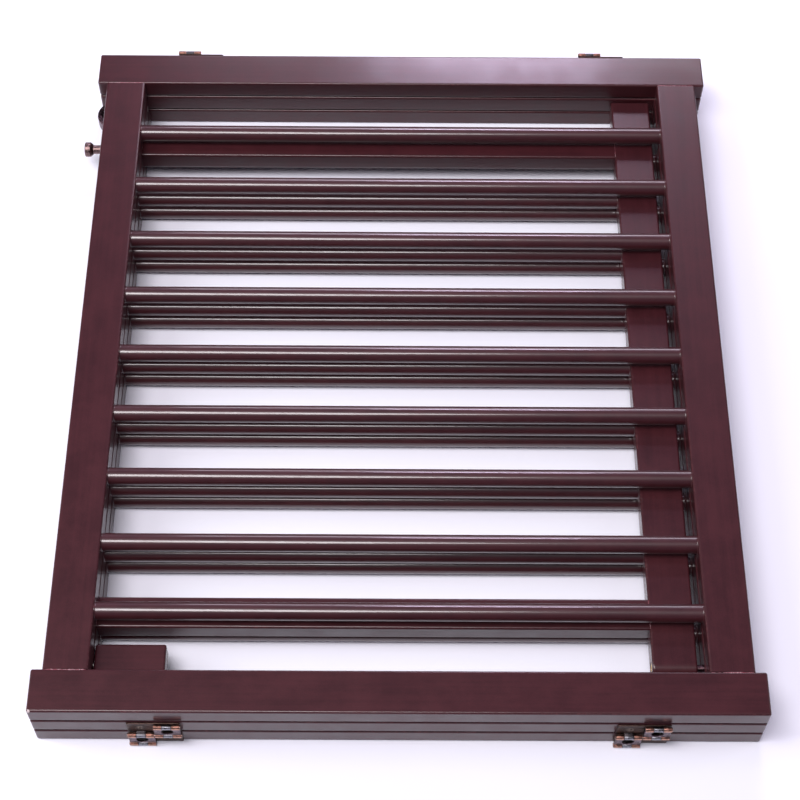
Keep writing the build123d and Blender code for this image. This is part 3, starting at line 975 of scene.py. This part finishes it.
@dataclass
class DoubleHinges:
    """The four double-action hinges: rolled leaves and links, headed pins and cross-head screws."""

    effects: Effects
    unit_width: float = 22.0 * MM
    unit_gap: float = 0.6 * MM
    pin_spacing: float = 17.4 * MM
    knuckle_radius: float = 2.2 * MM
    sheet: float = 1.0 * MM
    bend: float = 0.8 * MM
    leaf_roll: float = 318.0
    link_roll: float = 352.0
    centre_width: float = 7.8 * MM
    play: float = 0.2 * MM
    plate: float = 1.4 * MM
    plate_corner: float = 1.1 * MM
    lip: float = 1.5 * MM
    relief: float = 2.8 * MM
    link_end: float = 1.4 * MM
    window: float = 5.1 * MM
    screw_v: float = 10.275 * MM
    soften: float = 0.22 * MM
    pin_radius: float = 1.25 * MM
    pin_head_radius: float = 2.0 * MM
    pin_head: float = 0.8 * MM
    screw_head: CrossHead = CrossHead(
        radius=3.35 * MM,
        height=1.5 * MM,
        dome=0.14 * MM,
        slot_reach=2.1 * MM,
        slot_half=0.45 * MM,
        recess=0.8 * MM,
    )
    pins_at: dict[HingeLine, Vector] = field(init=False)
    edge_y: float = field(init=False)
    centres: Point2 = field(init=False)

    def __post_init__(self) -> None:
        """Read the pins' places from the joints and the hinges' from their leaves."""
        joints = {joint["name"]: joint for joint in frame["joints"]}
        self.pins_at = {
            HingeLine.NEAR: Vector(joints["centre_panel_fold"]["pos_m"]),
            HingeLine.FAR: Vector(joints["left_panel_fold"]["pos_m"]),
        }
        self.edge_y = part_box("left_hinged_stile")[1].y
        low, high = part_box("right_hinge_leaves")
        self.centres = (low.x + self.span / 2, high.x - self.span / 2)

    @property
    def span(self) -> float:
        """The width of a whole hinge."""
        return 2 * self.unit_width + self.unit_gap

    @property
    def unit_step(self) -> float:
        """From a hinge's middle to the middle of either unit."""
        return (self.unit_width + self.unit_gap) / 2

    @property
    def axis_u(self) -> float:
        """The pins' distance from the panel's edge."""
        return abs(self.pins_at[HingeLine.NEAR].y) - self.edge_y

    def frame_for(self, line: HingeLine, where: Where) -> Placing:
        """A local frame: X as it is, U out from the panel's edge and V from the shared pin over a panel."""
        pin_z = self.pins_at[line].z

        def place(x: float, u: float, v: float) -> Vector:
            """A local point in the row frame."""
            return Vector((x, line.value * (self.edge_y + u), pin_z + where.value * v))

        return place

    def rolled_knuckle(self, maker: MeshMaker, x: float, pin_v: float, towards: int) -> None:
        """A leaf's knuckle: the sheet leaves the plate, runs out to the pin and rolls round it.

        Args:
            maker: the mesh to add to.
            x: the middle of the knuckle.
            pin_v: the pin's place along V.
            towards: the sign of V from the pin to the bracket.
        """
        mean = self.knuckle_radius - self.sheet / 2
        bracket_v = pin_v + towards * mean
        plate_u = self.sheet / 2
        bend_v = bracket_v + towards * self.bend
        entry = [(plate_u, bracket_v + towards * 2.6 * self.bend), (plate_u, bend_v)]
        turn = arc((plate_u + self.bend, bend_v), self.bend, 180.0, towards * 90.0, 5)[1:]
        roll = arc((self.axis_u, pin_v), mean, towards * 90.0, -towards * self.leaf_roll, 30)
        line = entry + turn + [(self.axis_u - 1.2 * MM, bracket_v)] + roll
        half = self.centre_width / 2
        maker.prism(strip(line, self.sheet), x - half, x + half, self.soften)

    def leaves(self, line: HingeLine, where: Where, own_unit: int) -> MeshMaker:
        """The leaves of one panel on one hinge line.

        Args:
            line: the hinge line.
            where: the panel's side of the shared pin.
            own_unit: the unit whose shared pin runs in the leaf.

        Returns:
            The maker that holds them.
        """
        maker = MeshMaker(self.frame_for(line, where))
        low_v = self.knuckle_radius - self.plate
        high_v = self.pin_spacing + self.lip
        half = self.span / 2
        hole_radius = self.screw_head.radius + 0.06 * MM
        for centre in self.centres:
            outline = rounded_rectangle((centre - half, low_v), (centre + half, high_v), self.plate_corner)
            holes = [
                circle((centre + unit * self.unit_step, self.screw_v), hole_radius) for unit in (-1, 1)
            ]
            maker.plate([outline, *holes], 0.0, self.plate, self.soften)
            maker.shade = 1
            self.rolled_knuckle(maker, centre + own_unit * self.unit_step, 0.0, 1)
            self.rolled_knuckle(maker, centre - own_unit * self.unit_step, self.pin_spacing, -1)
        return maker

    def links(self, line: HingeLine, where: Where, unit: int) -> MeshMaker:
        """The links that lie over one panel's leaves.

        Args:
            line: the hinge line.
            where: the panel's side of the shared pin.
            unit: the unit that they are in.

        Returns:
            The maker that holds them.
        """
        maker = MeshMaker(self.frame_for(line, where))
        half = self.unit_width / 2
        side_width = (self.unit_width - self.centre_width - 2 * self.play) / 2
        notch = self.centre_width / 2 + self.play
        low_end, high_end = self.link_end, self.pin_spacing - self.link_end
        low_relief, high_relief = self.relief, self.pin_spacing - self.relief
        inner_u, outer_u = self.axis_u - self.plate / 2, self.axis_u + self.plate / 2
        mean = self.knuckle_radius - self.sheet / 2
        for centre in self.centres:
            x = centre + unit * self.unit_step
            outline = [
                (x - half, low_end), (x - notch, low_end), (x - notch, low_relief),
                (x + notch, low_relief), (x + notch, low_end), (x + half, low_end),
                (x + half, high_end), (x + notch, high_end), (x + notch, high_relief),
                (x - notch, high_relief), (x - notch, high_end), (x - half, high_end),
            ]
            window = circle((x, self.pin_spacing / 2), self.window)
            maker.plate([outline, window], inner_u, outer_u, self.soften)
            maker.shade = 1
            for pin_v, seam in ((0.0, 200.0), (self.pin_spacing, 160.0)):
                roll = arc((self.axis_u, pin_v), mean, seam, self.link_roll, 34)
                for start in (x - half, x + half - side_width):
                    maker.prism(strip(roll, self.sheet), start, start + side_width, self.soften)
        return maker

    def headed_pin(
        self, maker: MeshMaker, start: float, end: float, v: float, heads: tuple[bool, bool]
    ) -> None:
        """A pin with a domed head on one end or both.

        Args:
            maker: the mesh to add to.
            start: the shaft's first end along X.
            end: the shaft's last end along X.
            v: the pin's place along V.
            heads: whether the first and last ends have a head.
        """
        radius, head, reach = self.pin_radius, self.pin_head_radius, self.pin_head
        dome = [(0.0, 1.0), (0.45, 1.0), (0.78, 0.86), (0.95, 0.55), (1.0, 0.2)]
        first, last = [(start, radius * 0.7)], [(end, radius * 0.7)]
        if heads[0]:
            first = [(start - reach * x, head * r) for x, r in reversed(dome)]
        if heads[1]:
            last = [(end + reach * x, head * r) for x, r in dome]
        shaft = [(start + 0.15 * MM, radius), (end - 0.15 * MM, radius)]
        maker.lathe(first + shaft + last, (self.axis_u, v), segments=28)

    def outer_pins(self, line: HingeLine, where: Where, unit: int) -> MeshMaker:
        """The pins on one panel's side of its hinges."""
        maker = MeshMaker(self.frame_for(line, where))
        half = self.unit_width / 2
        for centre in self.centres:
            x = centre + unit * self.unit_step
            self.headed_pin(maker, x - half, x + half, self.pin_spacing, (unit < 0, unit > 0))
        return maker

    def shared_pins(self, line: HingeLine) -> MeshMaker:
        """The pins that both panels turn on."""
        maker = MeshMaker(self.frame_for(line, Where.ABOVE))
        half = self.span / 2
        for centre in self.centres:
            self.headed_pin(maker, centre - half - 0.1 * MM, centre + half, 0.0, (True, True))
        return maker

    def screws(self, line: HingeLine, where: Where) -> MeshMaker:
        """The screws of one panel on one hinge line."""
        maker = MeshMaker(self.frame_for(line, where))
        face_u = self.plate - 0.05 * MM
        for centre in self.centres:
            for unit in (-1, 1):
                self.screw_head.add_to(maker, centre + unit * self.unit_step, self.screw_v, face_u)
        return maker

    def put(
        self, makers: Sequence[MeshMaker], node: str, body: str, slot: str, *materials: bpy.types.Material
    ) -> None:
        """Join some meshes into the piece that stands for a node.

        Args:
            makers: the meshes.
            node: the CAD node that the piece replaces.
            body: the body that it rides on.
            slot: the record's material slot; not used.
            materials: its finishes, by shade.
        """
        first = makers[0]
        for other in makers[1:]:
            first.take(other)
        piece = first.finish(f"{node}_detailed")
        dress(piece, *materials)
        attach(piece, body)
        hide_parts(node)

    def build(self) -> None:
        """Make every hinge."""
        near, far, below, above = HingeLine.NEAR, HingeLine.FAR, Where.BELOW, Where.ABOVE
        crown = self.edge_y + self.axis_u + self.knuckle_radius
        finishes = (
            # leaves: near black partly for their own dark patina, partly as painted shade so that the leaf
            # seen through the link windows reads black
            AgedMetal(
                "antique_leaf",
                dark=(0.012, 0.009, 0.009),
                mid=(0.055, 0.036, 0.033),
                bright=(0.30, 0.17, 0.12),
                roughness=0.36,
            ),
            # leaf knuckles: the silver band on the crown is partly worn plating, partly a painted highlight
            AgedMetal(
                "antique_leaf_knuckle",
                dark=(0.016, 0.013, 0.014),
                mid=(0.060, 0.050, 0.055),
                bright=(0.40, 0.40, 0.44),
                roughness=0.3,
                rub_share=0.75,
                rub_from=crown - 2.6 * MM,
                rub_to=crown - 0.6 * MM,
            ),
            AgedMetal(
                "antique_link",
                dark=(0.040, 0.028, 0.036),
                mid=(0.19, 0.145, 0.175),
                bright=(0.46, 0.34, 0.37),
                roughness=0.3,
            ),
            # link barrels: the bright copper band on the crown is partly rubbed plating, partly a painted
            # highlight
            AgedMetal(
                "rubbed_copper_barrel",
                dark=(0.060, 0.026, 0.022),
                mid=(0.30, 0.135, 0.105),
                bright=(0.86, 0.52, 0.38),
                rub_share=0.5,
                rub_from=crown - 1.0 * MM,
                rub_to=crown - 0.1 * MM,
            ),
            AgedMetal(
                "copper_pin",
                dark=(0.12, 0.07, 0.06),
                mid=(0.34, 0.22, 0.18),
                bright=(0.85, 0.60, 0.50),
                roughness=0.28,
            ),
            AgedMetal(
                "bronze_screw", dark=(0.03, 0.022, 0.02), mid=(0.17, 0.13, 0.11), bright=(0.62, 0.48, 0.38)
            ),
        )
        leaf, knuckle, link, barrel, pin, screw = (finish.build(self.effects) for finish in finishes)
        copper, pins_slot, screws_slot = "hinge_copper", "hinge_pin_copper", "screw_bronze"
        sides = {"right": (near, below), "left": (far, above)}
        for name, (line, where) in sides.items():
            body = f"{name}_panel"
            self.put([self.leaves(line, where, 1)], f"{name}_hinge_leaves", body, copper, leaf, knuckle)
            self.put([self.links(line, where, -1)], f"{name}_hinge_links", body, copper, link, barrel)
            self.put([self.outer_pins(line, where, -1)], f"{name}_hinge_pins", body, pins_slot, pin)
            self.put([self.screws(line, where)], f"{name}_hinge_screws", body, screws_slot, screw)
        both = ((near, above), (far, below))
        body = "centre_panel"
        leaves = [self.leaves(*side, -1) for side in both]
        self.put(leaves, "centre_hinge_leaves", body, copper, leaf, knuckle)
        self.put([self.links(*side, 1) for side in both], "centre_hinge_links", body, copper, link, barrel)
        pins = [self.outer_pins(*side, 1) for side in both] + [self.shared_pins(line) for line in (near, far)]
        self.put(pins, "centre_hinge_pins", body, pins_slot, pin)
        self.put([self.screws(*side) for side in both], "centre_hinge_screws", body, screws_slot, screw)
        log.info("hinges at x = %.4f and %.4f", *self.centres)


# Latch, pull and pivots


@dataclass
class DoorHardware:
    """The drop rod and its knob, the bow pull, and the door's pivots."""

    effects: Effects
    crown: float = 0.5 * MM
    shoulder: float = 2.4 * MM
    neck_radius: float = 4.9 * MM
    bolt_head: CrossHead = CrossHead(
        radius=4.9 * MM,
        height=3.8 * MM,
        dome=0.5 * MM,
        slot_reach=2.6 * MM,
        slot_half=0.6 * MM,
        recess=1.6 * MM,
    )
    shank_radius: float = 3.0 * MM
    shank_tip: float = 2.4 * MM
    shank_taper: float = 0.6 * MM

    def knob(self, material: bpy.types.Material) -> None:
        """Turn the knob, with a slightly domed crown and a waisted neck."""
        low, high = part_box("latch_knob")
        centre = ((low.y + high.y) / 2, (low.z + high.z) / 2)
        radius = (high.y - low.y) / 2
        top, foot = low.x, high.x
        crown = [(top, 0.3 * MM), (top + 0.06 * MM, radius * 0.45), (top + self.crown * 0.5, radius * 0.78)]
        rim = [
            (top + self.crown + along * MM, radius - inward * MM)
            for along, inward in ((0.0, 0.75), (0.3, 0.3), (0.8, 0.05), (1.4, 0.0))
        ]
        side_end = foot - self.shoulder - 0.3 * MM
        flank = [
            (side_end - 0.6 * MM, radius),
            (side_end, radius - 0.1 * MM),
            (side_end + 0.45 * MM, radius - 0.55 * MM),
            (foot - 0.9 * MM, self.neck_radius + 0.7 * MM),
            (foot - 0.3 * MM, self.neck_radius + 0.1 * MM),
            (foot, self.neck_radius - 0.3 * MM),
            (foot, 1.0 * MM),
        ]
        maker = MeshMaker()
        maker.lathe(crown + rim + flank, centre, segments=56)
        piece = maker.finish("latch_knob_turned", sharp_degrees=50.0)
        dress(piece, material)
        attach(piece, "latch")
        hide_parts("latch_knob")

    def bolt(self, head: bpy.types.Material, shank_finish: bpy.types.Material) -> None:
        """The pivot bolt's cross-head, which lies inside the washer, and its shank.

        Args:
            head: the head's finish.
            shank_finish: the shank's finish, dark bronze in place of brass as painted shade where the shank
                sits in the shaded gap under the rail.
        """
        low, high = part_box("bottom_pivot_bolt")
        y, z = (low.y + high.y) / 2, (low.z + high.z) / 2

        def place(x: float, u: float, v: float) -> Vector:
            """U leads out of the rail, which is along -X."""
            return Vector((low.x - u, y + x, z + v))

        maker = MeshMaker(place)
        self.bolt_head.add_to(maker, 0.0, 0.0, 0.0)
        # the shank takes the dark finish as painted shade, since it sits in shadow between the rails
        shank = MeshMaker()
        shank.shade = 1
        start = low.x + self.bolt_head.height - 0.3 * MM
        taper = [(high.x - self.shank_taper, self.shank_radius), (high.x, self.shank_tip)]
        shank.lathe([(start, self.shank_radius), *taper], (y, z))
        maker.take(shank)
        piece = maker.finish("bottom_pivot_bolt_detailed")
        dress(piece, head, shank_finish)
        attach(piece, "door")
        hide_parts("bottom_pivot_bolt")

    def build(self) -> None:
        """Make and dress the hardware."""
        finishes = (
            AgedMetal(
                "latch_bronze_satin",
                dark=(0.10, 0.062, 0.058),
                mid=(0.24, 0.155, 0.15),
                bright=(0.5, 0.36, 0.35),
                roughness=0.3,
            ),
            AgedMetal(
                "pull_bronze_dark",
                dark=(0.035, 0.018, 0.022),
                mid=(0.11, 0.06, 0.07),
                bright=(0.42, 0.30, 0.32),
                roughness=0.27,
            ),
            AgedMetal(
                "zinc_plate",
                dark=(0.36, 0.35, 0.33),
                mid=(0.52, 0.51, 0.48),
                bright=(0.75, 0.74, 0.70),
                roughness=0.3,
            ),
            AgedMetal(
                "plain_brass",
                dark=(0.40, 0.27, 0.10),
                mid=(0.62, 0.45, 0.19),
                bright=(0.86, 0.70, 0.36),
                roughness=0.28,
            ),
        )
        bronze, dark_bronze, steel, brass = (finish.build(self.effects) for finish in finishes)
        self.knob(bronze)
        self.bolt(brass, dark_bronze)
        nodes = frame["nodes"]
        for name, material in (
            ("latch_rod", bronze),
            ("door_pull", dark_bronze),
            ("pull_screws", steel),
            ("top_pivot_pin", steel),
            ("pivot_washer", bronze),
        ):
            dress(nodes[name], material)
        log.info("latch, pull and pivots done")


# Studio


@dataclass(frozen=True)
class SoftBox:
    """A rectangular light: its place, the point that it faces, its size, its power and its colour."""

    name: str
    place: Point3
    aim: Point3
    size: Point2
    watts: float
    colour: Colour = (1.0, 1.0, 1.0)

    def hang(self) -> None:
        """Add the light."""
        data = bpy.data.lights.new(self.name, "AREA")
        data.shape = "RECTANGLE"
        data.size, data.size_y = self.size
        data.energy = self.watts
        data.color = self.colour
        light = bpy.data.objects.new(self.name, data)
        light.location = self.place
        facing = Vector(self.aim) - Vector(self.place)
        light.rotation_euler = facing.to_track_quat("-Z", "Y").to_euler()
        bpy.context.scene.collection.objects.link(light)


@dataclass
class Studio:
    """A pale floor, soft boxes and the camera."""

    focal_mm: float = 83.78
    sensor_mm: float = 36.0
    pitch_degrees: float = 58.367
    lean_degrees: float = -0.318
    turn_degrees: float = 0.153
    distance_y: float = 0.9345
    height: float = 1.4876
    lights: tuple[SoftBox, ...] = (
        SoftBox("top_front", (-0.7, -0.9, 3.2), (0.0, 0.0, 0.03), (2.1, 1.0), 94.0, (1.0, 0.95, 0.975)),
        SoftBox("left_side", (-2.6, -0.2, 1.9), (0.0, 0.0, 0.03), (1.6, 2.2), 58.0),
        SoftBox("right_side", (2.6, 0.1, 1.9), (0.0, 0.0, 0.03), (1.6, 2.2), 14.0),
        SoftBox("sheen", (0.28, 2.9, 2.62), (0.0, 0.33, 0.06), (0.64, 0.36), 25.0, (0.88, 0.72, 1.0)),
        SoftBox("rim", (0.2, 1.1, 0.66), (0.1, 0.1, 0.05), (1.1, 0.3), 6.5, (0.95, 0.88, 1.0)),
    )
    world: Colour = (0.60, 0.58, 0.85)
    world_strength: float = 0.14
    floor_side: float = 14.0
    floor_drop: float = 0.2 * MM
    paper_dim: Colour = (0.85, 0.855, 0.95)
    paper_pale: Colour = (0.87, 0.875, 0.96)

    def camera(self) -> None:
        """Stand the camera over the near side, looking down across the panels."""
        data = bpy.data.cameras.new("camera")
        data.lens = self.focal_mm
        data.sensor_width = self.sensor_mm
        camera = bpy.data.objects.new("camera", data)
        camera.location = (0.0, -self.distance_y, self.height)
        tilts = (90.0 - self.pitch_degrees, self.lean_degrees, self.turn_degrees)
        camera.rotation_euler = [math.radians(tilt) for tilt in tilts]
        bpy.context.scene.collection.objects.link(camera)
        bpy.context.scene.camera = camera

    def floor(self) -> None:
        """A plain pale floor."""
        bpy.ops.mesh.primitive_plane_add(size=self.floor_side, location=(0.0, 0.0, -self.floor_drop))
        floor = bpy.context.object
        floor.name = "floor"
        material, graph, shader = new_material("floor_paper")
        here = graph.add("ShaderNodeTexCoord").outputs["Object"]
        tone = graph.ramp(graph.noise(here, 3.0, 2.0), 0.3, 0.7)
        graph.feed(shader.inputs["Base Color"], graph.mix(tone, self.paper_dim, self.paper_pale))
        shader.inputs["Roughness"].default_value = 0.9
        shader.inputs["Specular IOR Level"].default_value = 0.2
        dress(floor, material)

    def build(self) -> None:
        """Set the whole studio."""
        self.floor()
        self.camera()
        for light in self.lights:
            light.hang()
        scene = bpy.context.scene
        scene.world = bpy.data.worlds.new("studio")
        scene.world.use_nodes = True
        background = scene.world.node_tree.nodes["Background"]
        background.inputs["Color"].default_value = (*self.world, 1.0)
        background.inputs["Strength"].default_value = self.world_strength
        scene.view_settings.view_transform = "Standard"
        log.info("studio set")


def main() -> None:
    """Build the looks in order."""
    logging.basicConfig(level=logging.INFO, format="%(message)s")
    Studio().build()
    effects = Effects()
    timber = Timber(effects)
    timber.dress()
    seams = JointSeams(effects)
    collars = BarCollars()
    for name, stiles in (("left", ("free", "hinged")), ("right", ("hinged", "free"))):
        rails = [f"{name}_top_rail", f"{name}_bottom_rail"]
        seams.between(f"{name}_panel", rails, [f"{name}_{role}_stile" for role in stiles], axis=1)
        collars.for_body(f"{name}_panel", rails, [f"{name}_bar_{n}" for n in range(1, 10)], timber)
    seams.between("centre_panel", ["threshold_rail"], ["centre_near_post", "centre_far_post"], axis=1)
    door_rails = ["door_top_rail", "door_bottom_rail"]
    seams.between("door", ["door_hinge_stile", "door_latch_stile"], door_rails, axis=0)
    collars.for_body("door", door_rails, [f"door_bar_{n}" for n in range(1, 8)], timber)
    log.info("seams and collars done")
    DoubleHinges(effects).build()
    DoorHardware(effects).build()


if __name__ == "__main__":
    main()
